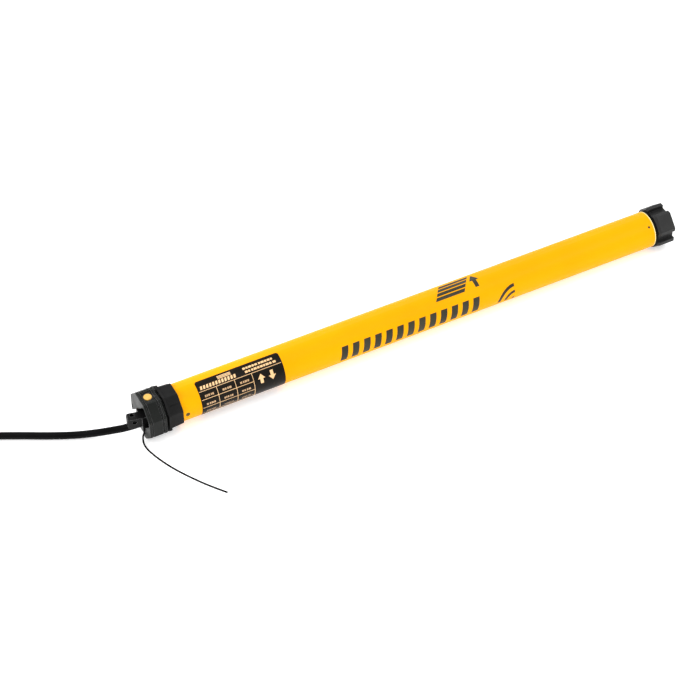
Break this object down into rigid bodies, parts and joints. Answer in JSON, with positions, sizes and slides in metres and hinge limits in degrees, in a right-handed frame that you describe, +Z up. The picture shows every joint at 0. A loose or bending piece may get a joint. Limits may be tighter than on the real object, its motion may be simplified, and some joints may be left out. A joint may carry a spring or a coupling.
{
  "type": "roller shutter motor",
  "caption": "Tubular shutter drive: octagonal head with setting button and plug-in cable, painted tube, turning crown ring and channelled octagonal drive adapter.",
  "frame": {"origin": "on the motor's axis, in the head's front face", "axes": "+X along the tube from the head to the drive end, +Z up with the motor lying on its head's lower flat, the setting button on top"},
  "size_m": [0.7474, 0.286, 0.042],
  "materials": {
    "black_plastic": "fine satin moulding",
    "crown_plastic": "satin moulding",
    "plug_plastic": "satin moulding",
    "adapter_plastic": "satin moulding",
    "yellow_paint": "satin powder coat",
    "button_yellow": "satin",
    "soft_black": "matt",
    "cable_sheath": "smooth satin",
    "antenna_sheath": "smooth satin",
    "core_brown": "smooth",
    "core_blue": "smooth",
    "core_green_yellow": "green and yellow stripes",
    "tinned_steel": "bright",
    "screw_steel": "zinc plated",
    "dark_screw": "black oxide",
    "label_film": "printed film",
    "board_green": "solder mask",
    "brass": "bright",
    "bronze": "sintered",
    "relay_plastic": "moulded",
    "transformer_tape": "tape over core",
    "module_metal": "tinned can",
    "capacitor_case": "smooth",
    "insulating_card": "pressboard",
    "lamination_steel": "stacked laminations",
    "copper_wire": "enamelled wire",
    "die_cast": "die cast",
    "ground_steel": "ground",
    "brake_lining": "friction lining",
    "gear_steel": "sintered steel",
    "gear_plastic": "acetal"
  },
  "bodies": {
    "drive_body": {"head_cover": "black_plastic", "head_housing": "black_plastic", "button_gasket": "soft_black", "socket_block": "plug_plastic", "socket_pins": "brass", "plug_body": "plug_plastic", "plug_screws": "dark_screw", "tube_insert": "black_plastic", "motor_tube": "yellow_paint", "head_screws": "screw_steel", "end_screws": "dark_screw", "rating_label": "label_film", "control_board": "board_green", "tact_switch": "soft_black", "radio_module": "module_metal", "relays": "relay_plastic", "transformer": "transformer_tape", "run_capacitor": "capacitor_case", "stator_sleeve": "insulating_card", "stator_core": "lamination_steel", "stator_windings": "copper_wire", "front_shield": "die_cast", "rear_shield": "die_cast", "rotor_bushes": "bronze", "brake_housing": "ground_steel", "brake_coil": "copper_wire", "brake_spring": "tinned_steel", "gearbox_cover": "gear_plastic", "gearbox_housing": "gear_steel", "output_bush": "bronze", "end_collar": "crown_plastic", "mains_cable": "cable_sheath", "mains_cable_coil": "cable_sheath", "mains_cable_tail": "cable_sheath", "core_brown": "core_brown", "core_blue": "core_blue", "core_earth": "core_green_yellow", "ferrules": "tinned_steel", "antenna_wire": "antenna_sheath"},
    "crown": {"crown_ring": "crown_plastic"},
    "encoder": {"encoder_pinion": "gear_plastic"},
    "button": {"setting_button": "button_yellow"},
    "armature": {"brake_armature": "ground_steel"},
    "rotor": {"rotor_shaft": "ground_steel", "rotor_core": "lamination_steel", "brake_disc": "brake_lining"},
    "carrier_1": {"carrier_1": "gear_steel"},
    "carrier_2": {"carrier_2": "gear_steel"},
    "output": {"output_carrier": "gear_steel", "drive_adapter": "adapter_plastic", "adapter_screw": "screw_steel"},
    "planet_1a": {"planet_1a": "gear_plastic"},
    "planet_1b": {"planet_1b": "gear_plastic"},
    "planet_1c": {"planet_1c": "gear_plastic"},
    "planet_2a": {"planet_2a": "gear_steel"},
    "planet_2b": {"planet_2b": "gear_steel"},
    "planet_2c": {"planet_2c": "gear_steel"},
    "planet_3a": {"planet_3a": "gear_steel"},
    "planet_3b": {"planet_3b": "gear_steel"},
    "planet_3c": {"planet_3c": "gear_steel"}
  },
  "joints": [
    {"name": "output_spin", "type": "hinge", "parent": "drive_body", "child": "output", "pos_m": [0.5, 0, 0], "axis": [1, 0, 0], "continuous": true},
    {"name": "crown_spin", "type": "hinge", "parent": "drive_body", "child": "crown", "pos_m": [0.026, 0, 0], "axis": [1, 0, 0], "continuous": true},
    {"name": "encoder_spin", "type": "hinge", "parent": "drive_body", "child": "encoder", "pos_m": [0.0275, 0, -0.012], "axis": [1, 0, 0], "continuous": true},
    {"name": "button_press", "type": "slide", "parent": "drive_body", "child": "button", "axis": [0, 0, -1], "range_m": [0, 0.001], "stiffness_N_per_m": 400},
    {"name": "brake_lift", "type": "slide", "parent": "drive_body", "child": "armature", "axis": [-1, 0, 0], "range_m": [0, 0.0005], "stiffness_N_per_m": 3000},
    {"name": "rotor_spin", "type": "hinge", "parent": "drive_body", "child": "rotor", "pos_m": [0.285, 0, 0], "axis": [1, 0, 0], "continuous": true},
    {"name": "carrier_1_spin", "type": "hinge", "parent": "drive_body", "child": "carrier_1", "pos_m": [0.413, 0, 0], "axis": [1, 0, 0], "continuous": true},
    {"name": "carrier_2_spin", "type": "hinge", "parent": "drive_body", "child": "carrier_2", "pos_m": [0.436, 0, 0], "axis": [1, 0, 0], "continuous": true},
    {"name": "planet_1a_spin", "type": "hinge", "parent": "carrier_1", "child": "planet_1a", "pos_m": [0.405, 0, 0.00877], "axis": [1, 0, 0], "continuous": true},
    {"name": "planet_1b_spin", "type": "hinge", "parent": "carrier_1", "child": "planet_1b", "pos_m": [0.405, 0.0076, -0.00439], "axis": [1, 0, 0], "continuous": true},
    {"name": "planet_1c_spin", "type": "hinge", "parent": "carrier_1", "child": "planet_1c", "pos_m": [0.405, -0.0076, -0.00439], "axis": [1, 0, 0], "continuous": true},
    {"name": "planet_2a_spin", "type": "hinge", "parent": "carrier_2", "child": "planet_2a", "pos_m": [0.426, 0, 0.00877], "axis": [1, 0, 0], "continuous": true},
    {"name": "planet_2b_spin", "type": "hinge", "parent": "carrier_2", "child": "planet_2b", "pos_m": [0.426, 0.0076, -0.00439], "axis": [1, 0, 0], "continuous": true},
    {"name": "planet_2c_spin", "type": "hinge", "parent": "carrier_2", "child": "planet_2c", "pos_m": [0.426, -0.0076, -0.00439], "axis": [1, 0, 0], "continuous": true},
    {"name": "planet_3a_spin", "type": "hinge", "parent": "output", "child": "planet_3a", "pos_m": [0.451, 0, 0.00877], "axis": [1, 0, 0], "continuous": true},
    {"name": "planet_3b_spin", "type": "hinge", "parent": "output", "child": "planet_3b", "pos_m": [0.451, 0.0076, -0.00439], "axis": [1, 0, 0], "continuous": true},
    {"name": "planet_3c_spin", "type": "hinge", "parent": "output", "child": "planet_3c", "pos_m": [0.451, -0.0076, -0.00439], "axis": [1, 0, 0], "continuous": true}
  ],
  "couplings": [
    {"joint": "encoder_spin", "follows": "crown_spin", "ratio": 4.3333},
    {"joint": "carrier_2_spin", "follows": "output_spin", "ratio": 4.5},
    {"joint": "carrier_1_spin", "follows": "output_spin", "ratio": 20.25},
    {"joint": "rotor_spin", "follows": "output_spin", "ratio": 91.125},
    {"joint": "planet_1a_spin", "follows": "output_spin", "ratio": -56.7},
    {"joint": "planet_1b_spin", "follows": "output_spin", "ratio": -56.7},
    {"joint": "planet_1c_spin", "follows": "output_spin", "ratio": -56.7},
    {"joint": "planet_2a_spin", "follows": "output_spin", "ratio": -12.6},
    {"joint": "planet_2b_spin", "follows": "output_spin", "ratio": -12.6},
    {"joint": "planet_2c_spin", "follows": "output_spin", "ratio": -12.6},
    {"joint": "planet_3a_spin", "follows": "output_spin", "ratio": -2.8},
    {"joint": "planet_3b_spin", "follows": "output_spin", "ratio": -2.8},
    {"joint": "planet_3c_spin", "follows": "output_spin", "ratio": -2.8}
  ]
}
